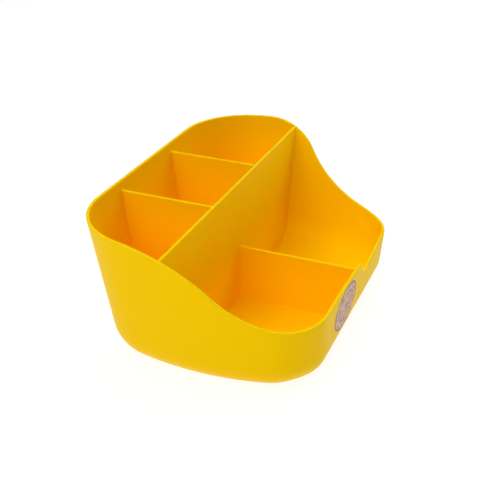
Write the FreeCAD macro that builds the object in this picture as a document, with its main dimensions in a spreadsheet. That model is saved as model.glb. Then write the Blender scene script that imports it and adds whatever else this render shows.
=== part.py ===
"""Desk organizer: a drafted tub with a rounded base, five compartments and an oval label.

Axes: +X runs across the width, -Y is the low front, +Z is up.
Origin: on the desk plane, half way across the width, under the middle of the tall partition.
All sizes are millimetres.
"""
import FreeCAD, Part
import math
import os
import Sketcher

os.makedirs("parts", exist_ok=True)

# Every size that can be chosen by itself, named and written once.
SIZES = {
    # outline of the tub on the desk and at the level of the back rim
    "height": 100.0,
    "base_half_width": 103.0,
    "top_half_width": 120.0,
    "base_front": 87.0,
    "top_front": 92.0,
    "base_back": 54.5,
    "top_back": 70.5,
    "front_corner_base": 39.0,
    "front_corner_top": 39.0,
    "back_corner_base": 34.0,
    "back_corner_top": 52.0,
    # how far the bowed side has turned, in degrees, where it meets its front and back corners
    "front_turn": 14.5,
    "back_turn": 11.5,
    # moulded thicknesses, and the round where the walls run into the floor
    "wall": 2.2,
    "floor_thickness": 2.3,
    "web": 2.0,
    "base_round": 20.5,
    # rim of the left side and left front: a long S
    "left_rim": 50.5,
    "left_crest_radius": 86.0,
    "left_hollow_radius": 80.0,
    # rim of the right side and right front: a steeper S that ends lower
    "right_rim": 40.0,
    "right_crest_radius": 43.5,
    "right_hollow_radius": 76.0,
    # front rim, from left to right: a slight fall, a steep step, then a rise to the right rim
    "fall_start": 42.0,
    "front_fall": 3.0,
    "step_start": 7.4,
    "step_width": 5.3,
    "front_dip": 7.0,
    "rise_end": 60.0,
    "front_lead": 8.0,
    "front_ease_radius": 70.0,
    "step_top_radius": 3.5,
    "step_foot_radius": 13.0,
    # partitions, each a little lower than the rim behind or in front of it
    "rear_drop": 6.0,
    "front_drop": 6.1,
    "rear_left": 39.3,
    "rear_right": 34.2,
    "front_offset": 2.8,
    # oval label on the front wall
    "label_length": 47.0,
    "label_height": 29.6,
    "label_thickness": 0.2,
    "label_left": 27.0,
    "label_below_rim": 2.6,
    # how far the cutting and dividing blocks reach past the tub
    "overreach": 20.0,
}

doc = FreeCAD.newDocument("desk_organizer")
params = doc.addObject("Spreadsheet::Sheet", "Params")
for row, (alias, value) in enumerate(SIZES.items(), start=1):
    params.set("A%d" % row, alias)
    params.set("B%d" % row, str(value))
    params.setAlias("B%d" % row, alias)
doc.recompute()

# The rim meets the front edge of the tall partition at the partition's own height.
SHOULDER = "(sqrt(Params.{0} ^ 2 - (Params.{0} - Params.rear_drop) ^ 2) - Params.web / 2)"


def value(alias):
    return params.get(alias)


def origin_plane(body, role):
    return [f for f in body.Origin.OriginFeatures if f.Role == role][0]


def new_body(name):
    body = doc.addObject("PartDesign::Body", name)
    body.Label = name
    return body


def new_sketch(body, name, role, offset):
    """A sketch on one of the body's origin planes, moved along its normal by an expression."""
    sketch = body.newObject("Sketcher::SketchObject", name)
    sketch.AttachmentSupport = [(origin_plane(body, role), "")]
    sketch.MapMode = "FlatFace"
    sketch.setExpression("AttachmentOffset.Base.z", offset)
    return sketch


def dimension(sketch, kind, refs, number, expression):
    """A sketch dimension that starts at number and is driven by expression."""
    index = sketch.addConstraint(Sketcher.Constraint(kind, *refs, number))
    sketch.setExpression("Constraints[%d]" % index, expression)


def chain(sketch, segments, joints):
    """Add segments end to end; joints gives Tangent or Coincident for each end."""
    ids = [sketch.addGeometry(segment, False) for segment in segments]
    for i, kind in enumerate(joints):
        follower = ids[(i + 1) % len(ids)]
        sketch.addConstraint(Sketcher.Constraint(kind, ids[i], 2, follower, 1))
    return ids


def line(start, end):
    return Part.LineSegment(FreeCAD.Vector(start[0], start[1], 0), FreeCAD.Vector(end[0], end[1], 0))


def arc(centre, radius, first, last):
    """Counter-clockwise arc between two angles."""
    circle = Part.Circle(FreeCAD.Vector(centre[0], centre[1], 0), FreeCAD.Vector(0, 0, 1), radius)
    return Part.ArcOfCircle(circle, first, last)


def outline(body, name, level, share, inset):
    """Closed outline of the tub: flat front and back, bowed sides, four round corners.

    share is how far the outline has grown from the base (0) to the back rim (1), and inset is
    how far every wall is stepped inward. The sides meet the corners at the same angles at every
    level, so the walls stay smooth from one face to the next all the way up.
    """
    sketch = new_sketch(body, name, "XY_Plane", level[0])
    sizes = {}
    for key, low, high in (
        ("half", "base_half_width", "top_half_width"),
        ("front", "base_front", "top_front"),
        ("back", "base_back", "top_back"),
        ("front_r", "front_corner_base", "front_corner_top"),
        ("back_r", "back_corner_base", "back_corner_top"),
    ):
        number = value(low) + (value(high) - value(low)) * share[1] - inset[1]
        text = "Params.%s + (Params.%s - Params.%s) * %s - %s" % (low, high, low, share[0], inset[0])
        sizes[key] = (number, text)
    half, front, back, front_r, back_r = (sizes[k][0] for k in (
        "half", "front", "back", "front_r", "back_r"))

    # the bowed side's radius and centre follow from the corners and the two turns
    turn_front = math.radians(value("front_turn"))
    turn_back = math.radians(value("back_turn"))
    front_y = -front + front_r
    back_y = back - back_r
    bow = (back_y - front_y + back_r * math.sin(turn_back) + front_r * math.sin(turn_front)) / (
        math.sin(turn_back) + math.sin(turn_front))
    bow_x = half - bow
    bow_y = back_y - (bow - back_r) * math.sin(turn_back)
    front_x = bow_x + (bow - front_r) * math.cos(turn_front)
    back_x = bow_x + (bow - back_r) * math.cos(turn_back)
    pi = math.pi

    ids = chain(sketch, [
        line((-front_x, -front), (front_x, -front)),
        arc((front_x, front_y), front_r, -pi / 2, -turn_front),
        arc((bow_x, bow_y), bow, -turn_front, turn_back),
        arc((back_x, back_y), back_r, turn_back, pi / 2),
        line((back_x, back), (-back_x, back)),
        arc((-back_x, back_y), back_r, pi / 2, pi - turn_back),
        arc((-bow_x, bow_y), bow, pi - turn_back, pi + turn_front),
        arc((-front_x, front_y), front_r, pi + turn_front, pi * 1.5),
    ], ["Tangent"] * 8)
    front_line, corner_fr, side_r, corner_br, back_line, corner_bl, side_l, corner_fl = ids

    sketch.addConstraint(Sketcher.Constraint("Horizontal", front_line))
    sketch.addConstraint(Sketcher.Constraint("Horizontal", back_line))
    dimension(sketch, "DistanceY", (front_line, 1, -1, 1), front, sizes["front"][1])
    dimension(sketch, "DistanceY", (-1, 1, back_line, 1), back, sizes["back"][1])
    for corner in (corner_fr, corner_fl):
        dimension(sketch, "Radius", (corner,), front_r, sizes["front_r"][1])
        dimension(sketch, "Angle", (corner,), pi / 2 - turn_front, "(90 - Params.front_turn) * 1 deg")
    for corner in (corner_br, corner_bl):
        dimension(sketch, "Radius", (corner,), back_r, sizes["back_r"][1])
        dimension(sketch, "Angle", (corner,), pi / 2 - turn_back, "(90 - Params.back_turn) * 1 deg")
    for side, x in ((side_r, half), (side_l, -half)):
        widest = sketch.addGeometry(Part.Point(FreeCAD.Vector(x, bow_y, 0)), True)
        sketch.addConstraint(Sketcher.Constraint("PointOnObject", widest, 1, side))
        sketch.addConstraint(Sketcher.Constraint("Horizontal", widest, 1, side, 3))
        ends = (-1, 1, widest, 1) if x > 0 else (widest, 1, -1, 1)
        dimension(sketch, "DistanceX", ends, half, sizes["half"][1])
    return sketch


def rounded_form(name, foot, foot_share, inset, round_radius):
    """Solid between the foot outline and the top outline, with its bottom edge rounded."""
    body = new_body(name)
    lower = outline(body, name + "_foot", foot, foot_share, inset)
    upper = outline(body, name + "_top", ("Params.height", value("height")), ("1", 1.0), inset)
    doc.recompute()
    loft = body.newObject("PartDesign::AdditiveLoft", name + "_walls")
    loft.Profile = upper
    loft.Sections = [lower]
    loft.Ruled = True
    doc.recompute()
    edges = ["Edge%d" % (i + 1) for i, edge in enumerate(loft.Shape.Edges)
             if edge.BoundBox.ZMax < foot[1] + 0.01]
    bottom = body.newObject("PartDesign::Fillet", name + "_round")
    bottom.Base = (loft, edges)
    bottom.setExpression("Radius", round_radius)
    body.Tip = bottom
    doc.recompute()
    return body


def rim_block(name, rim, crest, hollow, offset, side):
    """Block above the S-shaped rim of one side, from the offset plane outward."""
    body = new_body(name)
    sketch = new_sketch(body, name + "_profile", "YZ_Plane", offset)
    shoulder = SHOULDER.format(crest)
    crest_r, hollow_r = value(crest), value(hollow)
    shoulder_y = math.sqrt(crest_r ** 2 - (crest_r - value("rear_drop")) ** 2) - value("web") / 2
    top, low = value("height"), value(rim)
    turn = math.acos(1 - (top - low) / (crest_r + hollow_r))
    foot_y = shoulder_y - (crest_r + hollow_r) * math.sin(turn)
    front = -(value("top_front") + value("overreach"))
    lid = top + value("overreach")
    quarter = math.pi / 2

    ids = chain(sketch, [
        arc((shoulder_y, top - crest_r), crest_r, quarter, quarter + turn),
        arc((foot_y, low + hollow_r), hollow_r, -quarter, -quarter + turn),
        line((foot_y, low), (front, low)),
        line((front, low), (front, lid)),
        line((front, lid), (shoulder_y, lid)),
        line((shoulder_y, lid), (shoulder_y, top)),
    ], [])
    crest_id, hollow_id, flat, nose, roof, drop = ids
    sketch.addConstraint(Sketcher.Constraint("Tangent", crest_id, 2, hollow_id, 2))
    sketch.addConstraint(Sketcher.Constraint("Tangent", hollow_id, 1, flat, 1))
    for first, second in ((flat, nose), (nose, roof), (roof, drop)):
        sketch.addConstraint(Sketcher.Constraint("Coincident", first, 2, second, 1))
    sketch.addConstraint(Sketcher.Constraint("Perpendicular", drop, 2, crest_id, 1))
    sketch.addConstraint(Sketcher.Constraint("Horizontal", flat))
    sketch.addConstraint(Sketcher.Constraint("Horizontal", roof))
    sketch.addConstraint(Sketcher.Constraint("Vertical", nose))
    sketch.addConstraint(Sketcher.Constraint("Vertical", drop))
    dimension(sketch, "Radius", (crest_id,), crest_r, "Params." + crest)
    dimension(sketch, "Radius", (hollow_id,), hollow_r, "Params." + hollow)
    dimension(sketch, "DistanceX", (-1, 1, drop, 1), shoulder_y, shoulder)
    dimension(sketch, "DistanceY", (-1, 1, drop, 2), top, "Params.height")
    dimension(sketch, "DistanceY", (-1, 1, flat, 1), low, "Params." + rim)
    dimension(sketch, "DistanceX", (nose, 1, -1, 1), -front, "Params.top_front + Params.overreach")
    dimension(sketch, "DistanceY", (-1, 1, roof, 1), lid, "Params.height + Params.overreach")
    doc.recompute()
    pad = body.newObject("PartDesign::Pad", name + "_pad")
    pad.Profile = sketch
    pad.Reversed = side < 0
    pad.setExpression("Length", "Params.top_half_width + Params.overreach")
    body.Tip = pad
    doc.recompute()
    return body


def front_block():
    """Block above the front rim, which runs straight between four bends."""
    body = new_body("front_rim_block")
    sketch = new_sketch(body, "front_rim_profile", "XZ_Plane", "Params.front_corner_base")
    high, low = value("left_rim"), value("right_rim")
    step_start = value("step_start")
    step_end = step_start + value("step_width")
    # sharp corner of each bend, the expressions that place it, and its radius
    bends = [
        ((-value("fall_start"), high), "Params.fall_start", "Params.left_rim", "front_ease_radius"),
        ((step_start, high - value("front_fall")),
         "Params.step_start", "Params.left_rim - Params.front_fall", "step_top_radius"),
        ((step_end, low - value("front_dip")),
         "Params.step_start + Params.step_width", "Params.right_rim - Params.front_dip",
         "step_foot_radius"),
        ((value("rise_end"), low), "Params.rise_end", "Params.right_rim", "front_ease_radius"),
    ]
    left = bends[0][0][0] - value("front_lead")
    right = bends[-1][0][0] + value("front_lead")
    lid = value("height") + value("overreach")

    # straight runs between the bends, shortened where the arcs take over
    corners = [(left, high)] + [bend[0] for bend in bends] + [(right, low)]
    angles = [math.atan2(b[1] - a[1], b[0] - a[0]) for a, b in zip(corners, corners[1:])]
    starts, ends, arcs = [corners[0]], [], []
    for (corner, _, _, radius), before, after in zip(bends, angles, angles[1:]):
        r = value(radius)
        turn = after - before
        reach = r * math.tan(abs(turn) / 2)
        start = (corner[0] - reach * math.cos(before), corner[1] - reach * math.sin(before))
        side = 1 if turn > 0 else -1
        centre = (start[0] - side * r * math.sin(before), start[1] + side * r * math.cos(before))
        span = sorted((before - side * math.pi / 2, after - side * math.pi / 2))
        arcs.append((arc(centre, r, *span), turn > 0))
        ends.append(start)
        starts.append((corner[0] + reach * math.cos(after), corner[1] + reach * math.sin(after)))
    ends.append(corners[-1])
    runs = [sketch.addGeometry(line(a, b), False) for a, b in zip(starts, ends)]
    frame = [(right, low), (right, lid), (left, lid), (left, high)]
    nose, roof, tail = [sketch.addGeometry(line(a, b), False) for a, b in zip(frame, frame[1:])]

    for (shape, rising), bend, before, after in zip(arcs, bends, runs, runs[1:]):
        _, x_expression, z_expression, radius = bend
        bow = sketch.addGeometry(shape, False)
        first, last = (1, 2) if rising else (2, 1)
        sketch.addConstraint(Sketcher.Constraint("Tangent", before, 2, bow, first))
        sketch.addConstraint(Sketcher.Constraint("Tangent", bow, last, after, 1))
        (x, z) = bend[0]
        mark = sketch.addGeometry(Part.Point(FreeCAD.Vector(x, z, 0)), True)
        sketch.addConstraint(Sketcher.Constraint("PointOnObject", mark, 1, before))
        sketch.addConstraint(Sketcher.Constraint("PointOnObject", mark, 1, after))
        across = (-1, 1, mark, 1) if x > 0 else (mark, 1, -1, 1)
        dimension(sketch, "DistanceX", across, abs(x), x_expression)
        dimension(sketch, "DistanceY", (-1, 1, mark, 1), z, z_expression)
        dimension(sketch, "Radius", (bow,), value(radius), "Params." + radius)
    for first, second in ((runs[-1], nose), (nose, roof), (roof, tail), (tail, runs[0])):
        sketch.addConstraint(Sketcher.Constraint("Coincident", first, 2, second, 1))
    for flat in (runs[0], runs[-1], roof):
        sketch.addConstraint(Sketcher.Constraint("Horizontal", flat))
    for upright in (nose, tail):
        sketch.addConstraint(Sketcher.Constraint("Vertical", upright))
    reach_left = "Params.fall_start + Params.front_lead"
    reach_right = "Params.rise_end + Params.front_lead"
    dimension(sketch, "DistanceX", (tail, 2, -1, 1), -left, reach_left)
    dimension(sketch, "DistanceX", (-1, 1, nose, 1), right, reach_right)
    dimension(sketch, "DistanceY", (-1, 1, roof, 1), lid, "Params.height + Params.overreach")
    doc.recompute()
    pad = body.newObject("PartDesign::Pad", "front_rim_pad")
    pad.Profile = sketch
    pad.setExpression("Length", "Params.top_front + Params.overreach - Params.front_corner_base")
    body.Tip = pad
    doc.recompute()
    return body


def divider(label, box_expressions):
    """A thin upright slab, trimmed to the inside of the tub so that its edges meet the walls."""
    slab = doc.addObject("Part::Box", label + "_slab")
    for key, expression in box_expressions.items():
        slab.setExpression(key, expression)
    piece = doc.addObject("Part::Common", label)
    piece.Label = label
    piece.Base = slab
    piece.Tool = cavity
    return piece


# --- the tub: an outer form, hollowed by an inner form that keeps the walls even
outer = rounded_form("outer_form", ("0", 0.0), ("0", 0.0), ("0", 0.0), "Params.base_round")
floor_share = value("floor_thickness") / value("height")
cavity = rounded_form(
    "cavity_form",
    ("Params.floor_thickness", value("floor_thickness")),
    ("Params.floor_thickness / Params.height", floor_share),
    ("Params.wall", value("wall")),
    "Params.base_round - Params.wall",
)
tub = doc.addObject("Part::Cut", "tub")
tub.Base = outer
tub.Tool = cavity

# --- the rim: an S profile on each side, and the front profile between them
left_block = rim_block("left_rim_block", "left_rim", "left_crest_radius", "left_hollow_radius",
                       "-Params.fall_start - Params.front_lead", -1)
right_block = rim_block("right_rim_block", "right_rim", "right_crest_radius", "right_hollow_radius",
                        "Params.rise_end + Params.front_lead", 1)
rim_cut = doc.addObject("Part::MultiFuse", "rim_cut")
rim_cut.Shapes = [left_block, right_block, front_block()]
shell = doc.addObject("Part::Cut", "shell")
shell.Label = "shell"
shell.Base = tub
shell.Tool = rim_cut

# --- partitions
full_reach = "2 * (Params.top_half_width + Params.overreach)"
tall_partition = divider("tall_partition", {
    "Length": full_reach,
    "Width": "Params.web",
    "Height": "Params.height - Params.rear_drop",
    "Placement.Base.x": "-Params.top_half_width - Params.overreach",
    "Placement.Base.y": "-Params.web / 2",
})
rear = {
    "Length": "Params.web",
    "Width": "Params.top_back + Params.overreach",
    "Height": "Params.height - Params.rear_drop",
    "Placement.Base.y": "Params.web / 2",
}
rear_left = divider("rear_partition_left", dict(
    rear, **{"Placement.Base.x": "-Params.rear_left - Params.web / 2"}))
rear_right = divider("rear_partition_right", dict(
    rear, **{"Placement.Base.x": "Params.rear_right - Params.web / 2"}))
front_partition = divider("front_partition", {
    "Length": "Params.web",
    "Width": "Params.top_front + Params.overreach",
    "Height": "Params.left_rim - Params.front_drop",
    "Placement.Base.x": "Params.front_offset - Params.web / 2",
    "Placement.Base.y": "-Params.web / 2 - Params.top_front - Params.overreach",
})

# --- oval label, lying flat on the leaning front wall
label = new_body("front_label")
oval = new_sketch(label, "label_oval", "XY_Plane", "0")
half_long, half_short = value("label_length") / 2, value("label_height") / 2
ellipse = Part.Ellipse(FreeCAD.Vector(half_long, 0, 0), FreeCAD.Vector(0, half_short, 0),
                       FreeCAD.Vector(0, 0, 0))
oval_id = oval.addGeometry(ellipse, False)
oval.exposeInternalGeometry(oval_id)
oval.addConstraint(Sketcher.Constraint("Coincident", oval_id, 3, -1, 1))
oval.addConstraint(Sketcher.Constraint("Horizontal", 1))
dimension(oval, "Distance", (1,), 2 * half_long, "Params.label_length")
dimension(oval, "Distance", (2,), 2 * half_short, "Params.label_height")
doc.recompute()
label_pad = label.newObject("PartDesign::Pad", "label_pad")
label_pad.Profile = oval
label_pad.setExpression("Length", "Params.label_thickness")
label.Tip = label_pad
label_height = "(Params.left_rim - Params.label_below_rim - Params.label_height / 2)"
lean = "(Params.top_front - Params.base_front) / Params.height"
label.Placement = FreeCAD.Placement(FreeCAD.Vector(0, 0, 0), FreeCAD.Rotation(FreeCAD.Vector(1, 0, 0), 90))
label.setExpression("Placement.Base.x", "-Params.label_left")
label.setExpression("Placement.Base.y", "-Params.base_front - %s * %s" % (lean, label_height))
label.setExpression("Placement.Base.z", label_height)
label.setExpression("Placement.Rotation.Angle", "90 deg + atan(%s)" % lean)

doc.recompute()

# --- check, then write one STEP file per piece
for item in doc.Objects:
    if "Invalid" in item.State or "Error" in item.State:
        raise RuntimeError("%s failed: %s" % (item.Name, item.State))
pieces = [shell, tall_partition, rear_left, rear_right, front_partition, label]
for piece in pieces:
    if piece.Shape.isNull() or not piece.Shape.isValid() or len(piece.Shape.Solids) != 1:
        raise RuntimeError("%s is not one sound solid" % piece.Label)
for piece in pieces:
    piece.Shape.exportStep("parts/%s.step" % piece.Label)
    box = piece.Shape.BoundBox
    print("%-22s volume %10.1f  x %7.1f %7.1f  y %7.1f %7.1f  z %6.1f %6.1f" % (
        piece.Label, piece.Shape.Volume, box.XMin, box.XMax, box.YMin, box.YMax, box.ZMin, box.ZMax))
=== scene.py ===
"""Looks of the desk organizer: one yellow moulding and an oval label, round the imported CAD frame.

The meshes are worked out in millimetres, in the CAD frame: +X across the width, -Y the low
front, +Z up. They become metres when they turn into Blender objects.
"""

import math

import bpy
import numpy as np
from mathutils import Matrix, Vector


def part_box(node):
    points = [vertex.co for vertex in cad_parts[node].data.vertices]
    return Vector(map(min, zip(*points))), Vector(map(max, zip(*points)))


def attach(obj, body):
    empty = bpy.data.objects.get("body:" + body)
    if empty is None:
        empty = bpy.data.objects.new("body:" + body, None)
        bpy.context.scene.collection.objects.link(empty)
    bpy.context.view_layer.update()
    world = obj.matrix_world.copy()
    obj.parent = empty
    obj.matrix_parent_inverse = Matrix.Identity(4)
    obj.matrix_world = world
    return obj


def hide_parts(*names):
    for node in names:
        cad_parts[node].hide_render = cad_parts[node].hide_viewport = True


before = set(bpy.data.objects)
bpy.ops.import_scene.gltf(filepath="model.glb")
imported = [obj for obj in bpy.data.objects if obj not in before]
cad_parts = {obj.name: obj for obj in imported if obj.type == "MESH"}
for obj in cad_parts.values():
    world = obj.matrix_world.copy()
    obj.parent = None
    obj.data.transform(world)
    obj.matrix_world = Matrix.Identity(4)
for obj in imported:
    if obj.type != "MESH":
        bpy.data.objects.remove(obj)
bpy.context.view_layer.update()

MM = 0.001

# --- sizes of the moulding, in millimetres: the CAD source has the same ones
HEIGHT = 100.0
BASE = {"half": 103.0, "front": 87.0, "back": 54.5, "front_r": 39.0, "back_r": 34.0}
TOP = {"half": 120.0, "front": 92.0, "back": 70.5, "front_r": 39.0, "back_r": 52.0}
FRONT_TURN = math.radians(14.5)
BACK_TURN = math.radians(11.5)
WALL = 2.2
FLOOR = 2.3
WEB = 2.0
BASE_ROUND = 20.5
REAR_LEFT, REAR_RIGHT, FRONT_PLACE = -39.3, 34.2, 2.8  # where the short webs stand, along X
REAR_DROP = 6.0
LEFT_RIM, LEFT_CREST, LEFT_HOLLOW = 50.5, 86.0, 80.0
RIGHT_RIM, RIGHT_CREST, RIGHT_HOLLOW = 40.0, 43.5, 76.0
FRONT_DROP = 6.1
FRONT_LEAD = 8.0
FRONT_BENDS = [  # sharp corner and radius of each bend in the front rim, from left to right
    (-42.0, LEFT_RIM, 70.0),
    (7.4, LEFT_RIM - 3.0, 3.5),
    (12.7, RIGHT_RIM - 7.0, 13.0),
    (60.0, RIGHT_RIM, 70.0),
]

# --- rounds and marks that the CAD solids don't have
SIDE_ROUND = 26.5  # the round under the bowed sides, softer than the one under front and back
CORNER_SHARE = 0.55  # share of a corner's arc, away from the side, that blends the two rounds
RIM_ROUND = 0.65
WEB_ROUND = 0.65
JOINT_FILLET = 0.8
SINK_DEPTH = 0.16
SINK_WIDTH = 2.2
SINK_FADE = 6.0  # how far below the rim a sink mark takes to reach its full depth
BURIED = 0.35  # how far a web's hidden edges run into the walls and the floor
LABEL_THICK = 0.2
ROUND_ROWS = 13


# ---------------------------------------------------------------- the tub's outline

def columns():
    """Where the vertical lines of the shell stand: segment number and share along it."""
    def even(count):
        return np.linspace(0, 1, count, endpoint=False)

    front = np.concatenate([
        np.linspace(0.0, 0.48, 48, endpoint=False),
        np.linspace(0.48, 0.53, 16, endpoint=False),
        np.linspace(0.53, 0.60, 90, endpoint=False),
        np.linspace(0.60, 0.66, 24, endpoint=False),
        np.linspace(0.66, 1.0, 34, endpoint=False),
    ])
    parts = [front, even(40), even(110), even(56), even(110), even(56), even(110), even(40)]
    seg = np.concatenate([np.full(len(p), i) for i, p in enumerate(parts)])
    return seg, np.concatenate(parts)


SEG, SHARE = columns()


def outline(level, seg=SEG, share=SHARE):
    """Outer outline at a level (0 at the desk, 1 at the back rim): points and outward normals.

    level may be one number or one per column.
    """
    level = np.broadcast_to(np.asarray(level, float), (len(seg),))
    s = {k: BASE[k] + (TOP[k] - BASE[k]) * level for k in BASE}
    front_y = -s["front"] + s["front_r"]
    back_y = s["back"] - s["back_r"]
    bow = (back_y - front_y + s["back_r"] * math.sin(BACK_TURN)
           + s["front_r"] * math.sin(FRONT_TURN)) / (math.sin(BACK_TURN) + math.sin(FRONT_TURN))
    bow_x = s["half"] - bow
    bow_y = back_y - (bow - s["back_r"]) * math.sin(BACK_TURN)
    front_x = bow_x + (bow - s["front_r"]) * math.cos(FRONT_TURN)
    back_x = bow_x + (bow - s["back_r"]) * math.cos(BACK_TURN)

    quarter = math.pi / 2
    arcs = {  # segment: centre x, centre y, radius, first angle, last angle
        1: (front_x, front_y, s["front_r"], -quarter, -FRONT_TURN),
        2: (bow_x, bow_y, bow, -FRONT_TURN, BACK_TURN),
        3: (back_x, back_y, s["back_r"], BACK_TURN, quarter),
        5: (-back_x, back_y, s["back_r"], quarter, math.pi - BACK_TURN),
        6: (-bow_x, bow_y, bow, math.pi - BACK_TURN, math.pi + FRONT_TURN),
        7: (-front_x, front_y, s["front_r"], math.pi + FRONT_TURN, 1.5 * math.pi),
    }
    x = np.zeros(len(seg))
    y = np.zeros(len(seg))
    angle = np.zeros(len(seg))
    for number, (cx, cy, radius, first, last) in arcs.items():
        here = seg == number
        turn = (first + (last - first) * share)[here]
        x[here] = cx[here] + radius[here] * np.cos(turn)
        y[here] = cy[here] + radius[here] * np.sin(turn)
        angle[here] = turn
    here = seg == 0
    x[here] = ((2 * share - 1) * front_x)[here]
    y[here] = -s["front"][here]
    angle[here] = -quarter
    here = seg == 4
    x[here] = ((1 - 2 * share) * back_x)[here]
    y[here] = s["back"][here]
    angle[here] = quarter
    return np.stack([x, y], 1), np.stack([np.cos(angle), np.sin(angle)], 1)


def wall(z, inset, seg=SEG, share=SHARE):
    """Points of the wall at heights z, stepped inward by inset."""
    z = np.broadcast_to(np.asarray(z, float), (len(seg),))
    points, normal = outline(z / HEIGHT, seg, share)
    return np.column_stack([points - inset * normal, z])


def lean(seg=SEG, share=SHARE):
    """Outward horizontal normal of each column, and how far it leans out for each unit up."""
    low, normal = outline(0.0, seg, share)
    high, _ = outline(1.0, seg, share)
    return normal, ((high - low) * normal).sum(1) / HEIGHT


def foot_round():
    """Radius of the outer round under the wall, column by column, blended in the corners."""
    turned = np.select([np.isin(SEG, (1, 5)), np.isin(SEG, (2, 6)), np.isin(SEG, (3, 7))],
                       [SHARE, 1.0, 1 - SHARE], 0.0)
    turned = np.minimum(turned / CORNER_SHARE, 1.0)
    return BASE_ROUND + (SIDE_ROUND - BASE_ROUND) * turned ** 2 * (3 - 2 * turned)


# ---------------------------------------------------------------- the rim

def s_curve(y, low, crest, hollow):
    """Height of one side's rim: level at the back, an S down to the low front."""
    shoulder = math.sqrt(crest ** 2 - (crest - REAR_DROP) ** 2) - WEB / 2
    turn = math.acos(1 - (HEIGHT - low) / (crest + hollow))
    foot = shoulder - (crest + hollow) * math.sin(turn)
    change = shoulder - crest * math.sin(turn)
    upper = HEIGHT - crest + np.sqrt(np.maximum(crest ** 2 - np.minimum(y - shoulder, 0) ** 2, 0))
    lower = low + hollow - np.sqrt(np.maximum(hollow ** 2 - np.maximum(y - foot, 0) ** 2, 0))
    return np.where(y > change, upper, lower)


def front_curve(x):
    """Height of the front rim: straight runs between rounded bends."""
    places = [-1e3] + [bend[0] for bend in FRONT_BENDS] + [1e3]
    heights = [LEFT_RIM] + [bend[1] for bend in FRONT_BENDS] + [RIGHT_RIM]
    angles = np.arctan2(np.diff(heights), np.diff(places))
    z = np.interp(x, places, heights)
    for (corner, height, radius), before, after in zip(FRONT_BENDS, angles, angles[1:]):
        side = np.sign(after - before)
        reach = radius * math.tan(abs(after - before) / 2)
        start = corner - reach * math.cos(before)
        centre_x = start - side * radius * math.sin(before)
        centre_z = height - reach * math.sin(before) + side * radius * math.cos(before)
        bow = centre_z - side * np.sqrt(np.maximum(radius ** 2 - (x - centre_x) ** 2, 0))
        z = np.where((x > start) & (x < corner + reach * math.cos(after)), bow, z)
    return z


def rim_height(x, y):
    side = np.where(x < 0, s_curve(y, LEFT_RIM, LEFT_CREST, LEFT_HOLLOW),
                    s_curve(y, RIGHT_RIM, RIGHT_CREST, RIGHT_HOLLOW))
    middle = np.where(y < 0, front_curve(x), HEIGHT)
    inside = (x > FRONT_BENDS[0][0] - FRONT_LEAD) & (x < FRONT_BENDS[-1][0] + FRONT_LEAD)
    return np.where(inside, middle, side)


def rim_line(inset):
    """Where the wall's surface meets the rim profile, column by column."""
    z = np.full(len(SEG), HEIGHT)
    for _ in range(60):
        p = wall(z, inset)
        z = 0.5 * z + 0.5 * rim_height(p[:, 0], p[:, 1])
    return wall(z, inset)


# ---------------------------------------------------------------- mesh helpers

def unit(v):
    return v / np.linalg.norm(v, axis=-1, keepdims=True)


def link(name, vertices, faces, material, edge=None):
    """Object from vertices in millimetres; edge is a value per vertex for the painted edge
    highlight.
    """
    mesh = bpy.data.meshes.new(name)
    mesh.from_pydata((np.asarray(vertices) * MM).tolist(), [], faces)
    mesh.polygons.foreach_set("use_smooth", [True] * len(mesh.polygons))
    if edge is not None:
        attribute = mesh.attributes.new("edge", "FLOAT", "POINT")
        attribute.data.foreach_set("value", np.asarray(edge, np.float32))
    mesh.materials.append(material)
    mesh.update()
    obj = bpy.data.objects.new(name, mesh)
    bpy.context.scene.collection.objects.link(obj)
    return obj


def ring_faces(rows, cols):
    """Quads between closed rings, and a cap on the first and the last ring."""
    faces = []
    for r in range(rows - 1):
        for c in range(cols):
            d = (c + 1) % cols
            faces.append((r * cols + c, r * cols + d, (r + 1) * cols + d, (r + 1) * cols + c))
    faces.append(tuple(reversed(range(cols))))
    faces.append(tuple((rows - 1) * cols + c for c in range(cols)))
    return faces


# ---------------------------------------------------------------- the shell

def base_round(inset, ground, radius, count):
    """Rows of the round between floor and wall, from the wall down to the flat."""
    normal, k = lean()
    alpha = np.arctan(k)
    contact_z = ground + radius * (1 - np.sin(alpha))
    contact = wall(contact_z, inset)
    centre = contact[:, :2] - (radius * np.cos(alpha))[:, None] * normal
    rows = []
    for t in np.linspace(0, 1, count):
        phi = alpha + (math.pi / 2 - alpha) * t
        xy = centre + (radius * np.cos(phi))[:, None] * normal
        rows.append(np.column_stack([xy, ground + radius * (1 - np.sin(phi))]))
    return rows, contact_z


def flat_rings(ring, shares):
    """Rings of a flat floor, shrinking towards the middle of the given ring."""
    middle = ring.mean(0)
    return [middle + (ring - middle) * s for s in shares]


def sink(rows):
    """Shallow sink marks on the outside, opposite the partitions' ends."""
    p = np.array(rows)
    _, normal = outline(0.5)
    x, y, z = p[..., 0], p[..., 1], p[..., 2]
    side = np.isin(SEG, (2, 6))
    rear_fade = np.clip((HEIGHT - 3 - z) / SINK_FADE, 0, 1)
    front_fade = np.clip((LEFT_RIM - FRONT_DROP - 0.4 - z) / SINK_FADE, 0, 1)
    marks = np.exp(-(y / SINK_WIDTH) ** 2) * side * rear_fade
    for place in (REAR_LEFT, REAR_RIGHT):
        marks += np.exp(-((x - place) / SINK_WIDTH) ** 2) * (SEG == 4) * rear_fade
    marks += np.exp(-((x - FRONT_PLACE) / SINK_WIDTH) ** 2) * (SEG == 0) * front_fade
    p[..., :2] -= SINK_DEPTH * marks[..., None] * normal
    return list(p)


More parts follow.
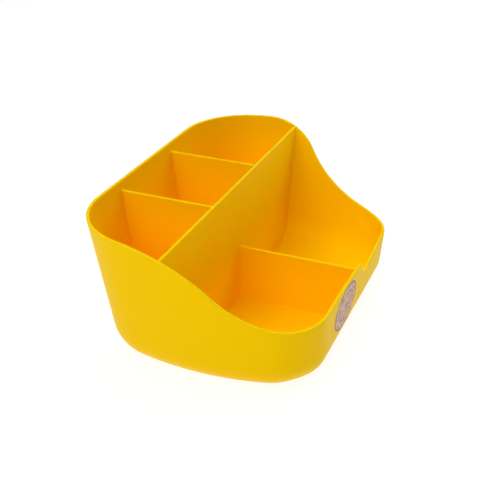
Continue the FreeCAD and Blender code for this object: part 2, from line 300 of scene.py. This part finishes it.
def make_shell(material):
    outer_rim = rim_line(0.0)
    inner_rim = rim_line(WALL)
    along = unit(np.roll(outer_rim, -1, 0) - np.roll(outer_rim, 1, 0))
    normal, k = lean()
    face = unit(np.column_stack([normal, -k]))
    down = unit(np.cross(along, face))
    down *= np.where(down[:, 2:] > 0, -1, 1)
    across = unit(inner_rim - outer_rim)
    slope = np.maximum(np.abs(down[:, 2]), 0.3)

    outer_round, outer_z = base_round(0.0, 0.0, foot_round(), ROUND_ROWS)
    inner_round, inner_z = base_round(WALL, FLOOR, foot_round() - WALL, ROUND_ROWS)
    clear = (RIM_ROUND + 0.5) / slope
    steps = np.linspace(0, 1, 34)[1:]
    outer_rows = [wall(outer_z + (outer_rim[:, 2] - clear - outer_z) * t, 0.0) for t in steps]
    inner_rows = [wall(inner_z + (inner_rim[:, 2] - clear - inner_z) * t, WALL) for t in steps]

    rim = []
    turns = np.linspace(0, math.pi / 2, 6)
    for phi in turns:
        fall, step = RIM_ROUND * (1 - math.sin(phi)), RIM_ROUND * (1 - math.cos(phi))
        rim.append(outer_rim + fall * down + step * across)
    for phi in turns[::-1]:
        fall, step = RIM_ROUND * (1 - math.sin(phi)), RIM_ROUND * (1 - math.cos(phi))
        rim.append(inner_rim + fall * down - step * across)

    shares = (0.06, 0.25, 0.5, 0.75, 0.93)
    rows = (flat_rings(outer_round[-1], shares) + outer_round[::-1] + outer_rows)
    rows = sink(rows)
    # the rim's round carries the painted edge highlight
    edge = [0.0] * len(rows) + [1.0] * len(rim)
    rows += rim + inner_rows[::-1] + inner_round + flat_rings(inner_round[-1], shares[::-1])
    edge += [0.0] * (len(rows) - len(edge))
    return link("moulded_shell", np.concatenate(rows), ring_faces(len(rows), len(SEG)), material,
                np.repeat(edge, len(SEG)))


# ---------------------------------------------------------------- the partitions

def cavity_edge(plane, low_side, z):
    """Where the cavity's wall crosses a partition's mid plane, at heights z above the floor.

    plane is ("y", value) for a wall across the width or ("x", value) for one from front to
    back; low_side picks the end with the smaller coordinate.
    """
    axis, at = plane
    normal, k = lean()
    alpha = np.arctan(k)
    radius = foot_round() - WALL
    found = []
    for height in z:
        rise = height - FLOOR
        contact = radius * (1 - np.sin(alpha))
        above = wall(np.maximum(height, FLOOR + contact), WALL)[:, :2]
        phi = np.arcsin(np.clip(1 - rise / radius, -1, 1))
        touch = wall(FLOOR + contact, WALL)[:, :2] - (radius * np.cos(alpha))[:, None] * normal
        below = touch + (radius * np.cos(phi))[:, None] * normal
        p = np.where((rise < contact)[:, None], below, above)
        here, other = (p[:, 1], p[:, 0]) if axis == "y" else (p[:, 0], p[:, 1])
        nxt = np.roll(here, -1)
        cross = np.nonzero((here - at) * (nxt - at) <= 0)[0]
        values = []
        for c in cross:
            d = (c + 1) % len(here)
            gap = here[d] - here[c]
            t = 0.0 if abs(gap) < 1e-9 else (at - here[c]) / gap
            values.append(other[c] + (other[d] - other[c]) * t)
        found.append(min(values) if low_side else max(values))
    return np.array(found)


def spread(length, fine, count):
    """Places from 0 to length, close together at both ends."""
    ends = [0, 0.06, 0.18, 0.38, 0.7, 1.1]
    ends = np.array(ends) * fine
    middle = np.linspace(ends[-1], length - ends[-1], count)
    return np.concatenate([ends[:-1], middle, (length - ends[:-1])[::-1]])


def make_partition(name, plane, top, first, last, material):
    """A web that runs between two cavity walls, or from the tall partition to one of them.

    first and last are either None, for the cavity's wall, or a fixed coordinate.
    """
    radius = SIDE_ROUND - WALL
    round_z = FLOOR + radius * (1 - np.cos(np.linspace(0, math.pi / 2, 22)))
    foot = FLOOR + np.array([0, 0.05, 0.15, 0.31, 0.56, 0.88])
    upper = np.linspace(FLOOR + radius, top - WEB_ROUND, 40)
    z = np.unique(np.concatenate([foot, round_z[round_z > foot[-1] + 0.3], upper]).round(6))
    z = z[z <= top - WEB_ROUND + 1e-6]
    lo = cavity_edge(plane, True, z) if first is None else np.full(len(z), first)
    hi = cavity_edge(plane, False, z) if last is None else np.full(len(z), last)
    share = spread(1.0, JOINT_FILLET / (hi[-1] - lo[-1]), 70)
    along = lo[:, None] + (hi - lo)[:, None] * share[None, :]
    height = np.repeat(z[:, None], len(share), 1)

    # distance to the joint line, which widens the web into its small fillets
    path = np.concatenate([np.column_stack([lo[::-1], z[::-1]]), np.column_stack([hi, z])])
    a, b = path[:-1], path[1:]
    q = np.stack([along, height], -1).reshape(-1, 2)
    distance = np.full(len(q), 1e9)
    for p0, p1 in zip(a, b):
        d = p1 - p0
        size = max((d ** 2).sum(), 1e-12)
        t = np.clip(((q - p0) @ d) / size, 0, 1)
        distance = np.minimum(distance, np.linalg.norm(q - p0 - t[:, None] * d, axis=1))
    distance = distance.reshape(along.shape)
    inside = np.clip(distance, 0, JOINT_FILLET)
    flare = JOINT_FILLET - np.sqrt(np.maximum(JOINT_FILLET ** 2 - (JOINT_FILLET - inside) ** 2, 0))
    half = WEB / 2 + flare

    # bury the outer rows in the walls and the floor
    along = np.column_stack([along[:, 0] - BURIED, along, along[:, -1] + BURIED])
    half = np.column_stack([half[:, 0], half, half[:, -1]])
    height = np.column_stack([height[:, 0], height, height[:, -1]])
    along = np.vstack([along[0], along])
    half = np.vstack([half[0], half])
    height = np.vstack([height[0] - BURIED, height])

    # front sheet, rounded top, back sheet
    turns = np.linspace(0, math.pi / 2, 5)[1:]
    crown = [(along[-1], height[-1] + WEB_ROUND * math.sin(t),
              -(half[-1] - WEB_ROUND * (1 - math.cos(t)))) for t in turns]
    rows = [np.column_stack([a, w, h]) for a, h, w in zip(along, height, -half)]
    rows += [np.column_stack([a, w, h]) for a, h, w in crown]
    # the web's rounded top carries the painted edge highlight
    edge = [0.0] * len(along) + [1.0] * len(crown)
    back = [r * (1, -1, 1) for r in rows[::-1]]
    rows += back
    edge += edge[::-1]
    axis, at = plane
    points = np.array(rows)
    if axis == "y":
        points = points + np.array([0, at, 0])
    else:
        points = points[..., [1, 0, 2]] * (-1, 1, 1) + np.array([at, 0, 0])
    count = points.shape[1]
    faces = []
    total = points.shape[0]
    for r in range(total - 1):
        for c in range(count - 1):
            low, high = r * count + c, (r + 1) * count + c
            faces.append((low, low + 1, high + 1, high))
    for r in range(total // 2 - 1):
        mirror = total - 1 - r
        for c, turned in ((0, 1), (count - 1, -1)):
            ends = [row * count + c for row in (r, r + 1, mirror - 1, mirror)]
            faces.append(tuple(ends[::turned]))
    last_row = (total - 1) * count
    faces += [(c + 1, c, last_row + c, last_row + c + 1) for c in range(count - 1)]
    return link(name, points.reshape(-1, 3), faces, material, np.repeat(edge, count))


# ---------------------------------------------------------------- the label

def make_label(material):
    """Thin oval sticker on the leaning front wall, with its edge rounded down."""
    low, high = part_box("front_label")
    half_long = (high.x - low.x) / 2 / MM
    tilt = math.atan((TOP["front"] - BASE["front"]) / HEIGHT)
    sunk = LABEL_THICK * math.sin(tilt)
    half_short = ((high.z - low.z) / MM - sunk) / 2 / math.cos(tilt)
    centre = np.array([(low.x + high.x) / 2 / MM, 0.0, (low.z + high.z) / 2 / MM + sunk / 2])
    centre[1] = -BASE["front"] - math.tan(tilt) * centre[2]
    up = np.array([0, -math.sin(tilt), math.cos(tilt)])
    out = np.array([0, -math.cos(tilt), -math.sin(tilt)])
    across = np.array([1.0, 0, 0])
    turn = np.linspace(0, 2 * math.pi, 96, endpoint=False)
    rows = [(1.0, -0.05), (1.0, 0.10), (0.996, 0.16), (0.988, 0.19)]  # share of the oval, lift
    rows += [(scale, LABEL_THICK) for scale in (0.975, 0.9, 0.7, 0.45, 0.2, 0.04)]
    points, uv = [], []
    for scale, lift in rows:
        e, f = half_long * scale * np.cos(turn), half_short * scale * np.sin(turn)
        points.append(centre + e[:, None] * across + f[:, None] * up + lift * out)
        uv.append(np.column_stack([scale * np.cos(turn), scale * np.sin(turn)]) * 0.5 + 0.5)
    obj = link("oval_label", np.concatenate(points), ring_faces(len(rows), len(turn)), material)
    layer = obj.data.uv_layers.new(name="oval")
    flat = np.concatenate(uv)
    index = np.zeros(len(obj.data.loops), int)
    obj.data.loops.foreach_get("vertex_index", index)
    layer.data.foreach_set("uv", flat[index].ravel())
    return obj


# ---------------------------------------------------------------- materials

def noise(tree, place, scale, detail):
    """Noise texture that lies in the object's own coordinates."""
    texture = tree.nodes.new("ShaderNodeTexNoise")
    texture.inputs["Scale"].default_value = scale
    texture.inputs["Detail"].default_value = detail
    tree.links.new(place.outputs["Object"], texture.inputs["Vector"])
    return texture


def plastic():
    """Satin yellow plastic: faint flow marks, fine grain, a painted highlight on the rounded edges,
    faint sheen.
    """
    material = bpy.data.materials.new("yellow_moulded_plastic")
    material.use_nodes = True
    tree = material.node_tree
    links = tree.links
    shader = tree.nodes["Principled BSDF"]
    place = tree.nodes.new("ShaderNodeTexCoord")

    flow = noise(tree, place, 14.0, 4.0)
    flow.inputs["Roughness"].default_value = 0.55
    tone = tree.nodes.new("ShaderNodeValToRGB")
    tone.color_ramp.elements[0].position = 0.3
    tone.color_ramp.elements[0].color = (0.985, 0.59, 0.0003, 1)
    tone.color_ramp.elements[1].position = 0.7
    tone.color_ramp.elements[1].color = (0.992, 0.625, 0.0003, 1)
    links.new(flow.outputs["Fac"], tone.inputs["Fac"])

    # painted highlight: the rounded rims and web tops get a lighter yellow, broken up by noise, for
    # the light they catch
    edge = tree.nodes.new("ShaderNodeAttribute")
    edge.attribute_name = "edge"
    highlight_breakup = noise(tree, place, 160.0, 3.0)
    highlight_mask = tree.nodes.new("ShaderNodeMath")
    highlight_mask.operation = "MULTIPLY"
    links.new(edge.outputs["Fac"], highlight_mask.inputs[0])
    links.new(highlight_breakup.outputs["Fac"], highlight_mask.inputs[1])
    mix = tree.nodes.new("ShaderNodeMix")
    mix.data_type = "RGBA"
    links.new(highlight_mask.outputs["Value"], mix.inputs["Factor"])
    links.new(tone.outputs["Color"], mix.inputs[6])
    mix.inputs[7].default_value = (0.95, 0.70, 0.003, 1)
    links.new(mix.outputs[2], shader.inputs["Base Color"])

    satin = noise(tree, place, 60.0, 5.0)
    rough = tree.nodes.new("ShaderNodeMapRange")
    rough.inputs["To Min"].default_value = 0.30
    rough.inputs["To Max"].default_value = 0.42
    links.new(satin.outputs["Fac"], rough.inputs["Value"])
    links.new(rough.outputs["Result"], shader.inputs["Roughness"])

    grain = noise(tree, place, 900.0, 2.0)
    bump = tree.nodes.new("ShaderNodeBump")
    bump.inputs["Strength"].default_value = 0.12
    bump.inputs["Distance"].default_value = 0.0001
    links.new(grain.outputs["Fac"], bump.inputs["Height"])
    links.new(bump.outputs["Normal"], shader.inputs["Normal"])
    shader.inputs["IOR"].default_value = 1.49
    shader.inputs["Specular Tint"].default_value = (1.0, 0.75, 0.0, 1)
    shader.inputs["Specular IOR Level"].default_value = 0.02
    shader.inputs["Sheen Weight"].default_value = 0.15
    shader.inputs["Sheen Roughness"].default_value = 0.4
    shader.inputs["Sheen Tint"].default_value = (1.0, 0.9, 0.0, 1)
    return material


def paper():
    """Printed oval sticker with a generic design: two fine rings on mottled dusty pink."""
    material = bpy.data.materials.new("oval_sticker")
    material.use_nodes = True
    tree = material.node_tree
    links = tree.links
    shader = tree.nodes["Principled BSDF"]
    uv = tree.nodes.new("ShaderNodeUVMap")
    uv.uv_map = "oval"
    move = tree.nodes.new("ShaderNodeVectorMath")
    move.operation = "SUBTRACT"
    move.inputs[1].default_value = (0.5, 0.5, 0.0)
    links.new(uv.outputs["UV"], move.inputs[0])
    length = tree.nodes.new("ShaderNodeVectorMath")
    length.operation = "LENGTH"
    links.new(move.outputs["Vector"], length.inputs[0])
    rings = tree.nodes.new("ShaderNodeValToRGB")
    ramp = rings.color_ramp
    ramp.interpolation = "LINEAR"
    middle, thin_ring, band = (0.70, 0.40, 0.23), (0.42, 0.20, 0.15), (0.72, 0.44, 0.29)
    dark_ring, border = (0.12, 0.035, 0.025), (0.74, 0.48, 0.30)
    stops = [(0.0, middle), (0.575, middle), (0.595, thin_ring), (0.635, thin_ring),
             (0.655, band), (0.925, band), (0.935, dark_ring), (0.975, dark_ring), (0.985, border)]
    ramp.elements[0].position = stops[0][0]
    ramp.elements[0].color = (*stops[0][1], 1)
    ramp.elements[1].position = stops[-1][0]
    ramp.elements[1].color = (*stops[-1][1], 1)
    for position, colour in stops[1:-1]:
        ramp.elements.new(position).color = (*colour, 1)
    double = tree.nodes.new("ShaderNodeMath")
    double.operation = "MULTIPLY"
    double.inputs[1].default_value = 2.0
    links.new(length.outputs["Value"], double.inputs[0])
    links.new(double.outputs["Value"], rings.inputs["Fac"])

    place = tree.nodes.new("ShaderNodeTexCoord")
    blot = noise(tree, place, 260.0, 3.0)
    blot.inputs["Roughness"].default_value = 0.65
    shade = tree.nodes.new("ShaderNodeMapRange")
    shade.inputs["From Min"].default_value = 0.42
    shade.inputs["From Max"].default_value = 0.62
    shade.inputs["To Min"].default_value = 0.0
    shade.inputs["To Max"].default_value = 0.75
    links.new(blot.outputs["Fac"], shade.inputs["Value"])
    mix = tree.nodes.new("ShaderNodeMix")
    mix.data_type = "RGBA"
    mix.inputs[7].default_value = (0.36, 0.17, 0.14, 1)
    links.new(shade.outputs["Result"], mix.inputs["Factor"])
    links.new(rings.outputs["Color"], mix.inputs[6])
    links.new(mix.outputs[2], shader.inputs["Base Color"])
    links.new(blot.outputs["Fac"], shader.inputs["Roughness"])
    bump = tree.nodes.new("ShaderNodeBump")
    bump.inputs["Strength"].default_value = 0.15
    bump.inputs["Distance"].default_value = 0.00005
    links.new(blot.outputs["Fac"], bump.inputs["Height"])
    links.new(bump.outputs["Normal"], shader.inputs["Normal"])
    return material


# ---------------------------------------------------------------- pieces

yellow = plastic()
shell = make_shell(yellow)
pieces = [
    (shell, "shell", "yellow_plastic"),
    (make_partition("tall_web", ("y", 0.0), HEIGHT - REAR_DROP, None, None, yellow),
     "tall_partition", "yellow_plastic"),
    (make_partition("rear_left_web", ("x", REAR_LEFT), HEIGHT - REAR_DROP, WEB / 2, None, yellow),
     "rear_partition_left", "yellow_plastic"),
    (make_partition("rear_right_web", ("x", REAR_RIGHT), HEIGHT - REAR_DROP, WEB / 2, None, yellow),
     "rear_partition_right", "yellow_plastic"),
    (make_partition("front_web", ("x", FRONT_PLACE), LEFT_RIM - FRONT_DROP, None, -WEB / 2, yellow),
     "front_partition", "yellow_plastic"),
    (make_label(paper()), "front_label", "label_paper"),
]
for piece, cad_node, finish in pieces:
    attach(piece, "root")
    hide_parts(cad_node)


# ---------------------------------------------------------------- floor, light and camera

def make_floor():
    material = bpy.data.materials.new("pale_floor")
    material.use_nodes = True
    shader = material.node_tree.nodes["Principled BSDF"]
    shader.inputs["Base Color"].default_value = (0.20, 0.20, 0.20, 1)
    shader.inputs["Roughness"].default_value = 0.9
    shader.inputs["Emission Color"].default_value = (1, 1, 1, 1)
    shader.inputs["Emission Strength"].default_value = 0.86
    mesh = bpy.data.meshes.new("floor")
    reach = 6.0
    corners = [(-reach, -reach, 0), (reach, -reach, 0), (reach, reach, 0), (-reach, reach, 0)]
    mesh.from_pydata(corners, [], [(0, 1, 2, 3)])
    mesh.materials.append(material)
    floor = bpy.data.objects.new("floor", mesh)
    floor.location.z = -0.0002
    bpy.context.scene.collection.objects.link(floor)


def make_backdrop():
    """Pale wall far round the floor, which lights nothing and only closes the view."""
    material = bpy.data.materials.new("pale_backdrop")
    material.use_nodes = True
    shader = material.node_tree.nodes["Principled BSDF"]
    shader.inputs["Base Color"].default_value = (0, 0, 0, 1)
    shader.inputs["Specular IOR Level"].default_value = 0.0
    shader.inputs["Emission Color"].default_value = (1, 1, 1, 1)
    shader.inputs["Emission Strength"].default_value = 0.88
    radius, height, count = 5.5, 8.0, 64
    turns = [2 * math.pi * k / count for k in range(count)]
    vertices = [(radius * math.cos(t), radius * math.sin(t), z)
                for z in (-0.1, height) for t in turns]
    faces = [(k, (k + 1) % count, count + (k + 1) % count, count + k) for k in range(count)]
    mesh = bpy.data.meshes.new("backdrop")
    mesh.from_pydata(vertices, [], faces)
    mesh.materials.append(material)
    backdrop = bpy.data.objects.new("backdrop", mesh)
    backdrop.visible_diffuse = False
    backdrop.visible_glossy = False
    backdrop.visible_shadow = False
    bpy.context.scene.collection.objects.link(backdrop)


def area(name, place, aim, size, power):
    """White square light at a place, turned towards its aim."""
    light = bpy.data.lights.new(name, "AREA")
    light.shape = "SQUARE"
    light.size = size
    light.energy = power
    obj = bpy.data.objects.new(name, light)
    obj.location = place
    obj.rotation_mode = "QUATERNION"
    obj.rotation_quaternion = (Vector(aim) - Vector(place)).to_track_quat("-Z", "Y")
    bpy.context.scene.collection.objects.link(obj)


make_floor()
make_backdrop()
world = bpy.data.worlds.new("studio")
world.use_nodes = True
background = world.node_tree.nodes["Background"]
background.inputs["Color"].default_value = (1, 1, 1, 1)
background.inputs["Strength"].default_value = 0.1
bpy.context.scene.world = world
bpy.context.scene.view_settings.view_transform = "Standard"
bpy.context.scene.cycles.diffuse_bounces = 12

LIGHT_DISTANCE = 1.5
LIGHT_AIM = (0, 0, 0.05)
LIGHTS = {  # name: direction from the object, watts, size in metres
    "left_high": ((-1, 0, 1.2), 7.6, 1.0),
    "left_back": ((-1, 0.8, 1.2), 3.5, 1.0),
    "back_high": ((0, 0.5, 1), 1.8, 0.5),
    "overhead": ((0, 0, 1), 4.8, 1.4),
    "right_high": ((0.6, 0, 1), 3.1, 0.6),
    "right_low": ((1, 0, 0.8), 3.0, 1.0),
    "right_front": ((1, -1, 0.8), 4.4, 1.0),
}
for name, (direction, watts, size) in LIGHTS.items():
    area(name, Vector(direction).normalized() * LIGHT_DISTANCE, LIGHT_AIM, size, watts)

AIM = Vector((-0.00378, -0.00376, 0.0527))
AZIMUTH, ELEVATION, DISTANCE = math.radians(-67.23), math.radians(28.23), 0.6171
back = Vector((math.sin(AZIMUTH) * math.cos(ELEVATION), -math.cos(AZIMUTH) * math.cos(ELEVATION),
               math.sin(ELEVATION)))
SENSOR = 36.0
FOCAL_PER_WIDTH = 881.5 / 480  # focal length as a share of the frame's width
camera = bpy.data.cameras.new("camera")
camera.sensor_width = SENSOR
camera.lens = FOCAL_PER_WIDTH * SENSOR
camera.clip_start = 0.01
view = bpy.data.objects.new("camera", camera)
view.location = AIM + back * DISTANCE
view.rotation_mode = "QUATERNION"
view.rotation_quaternion = (-back).to_track_quat("-Z", "Y")
bpy.context.scene.collection.objects.link(view)
bpy.context.scene.camera = view
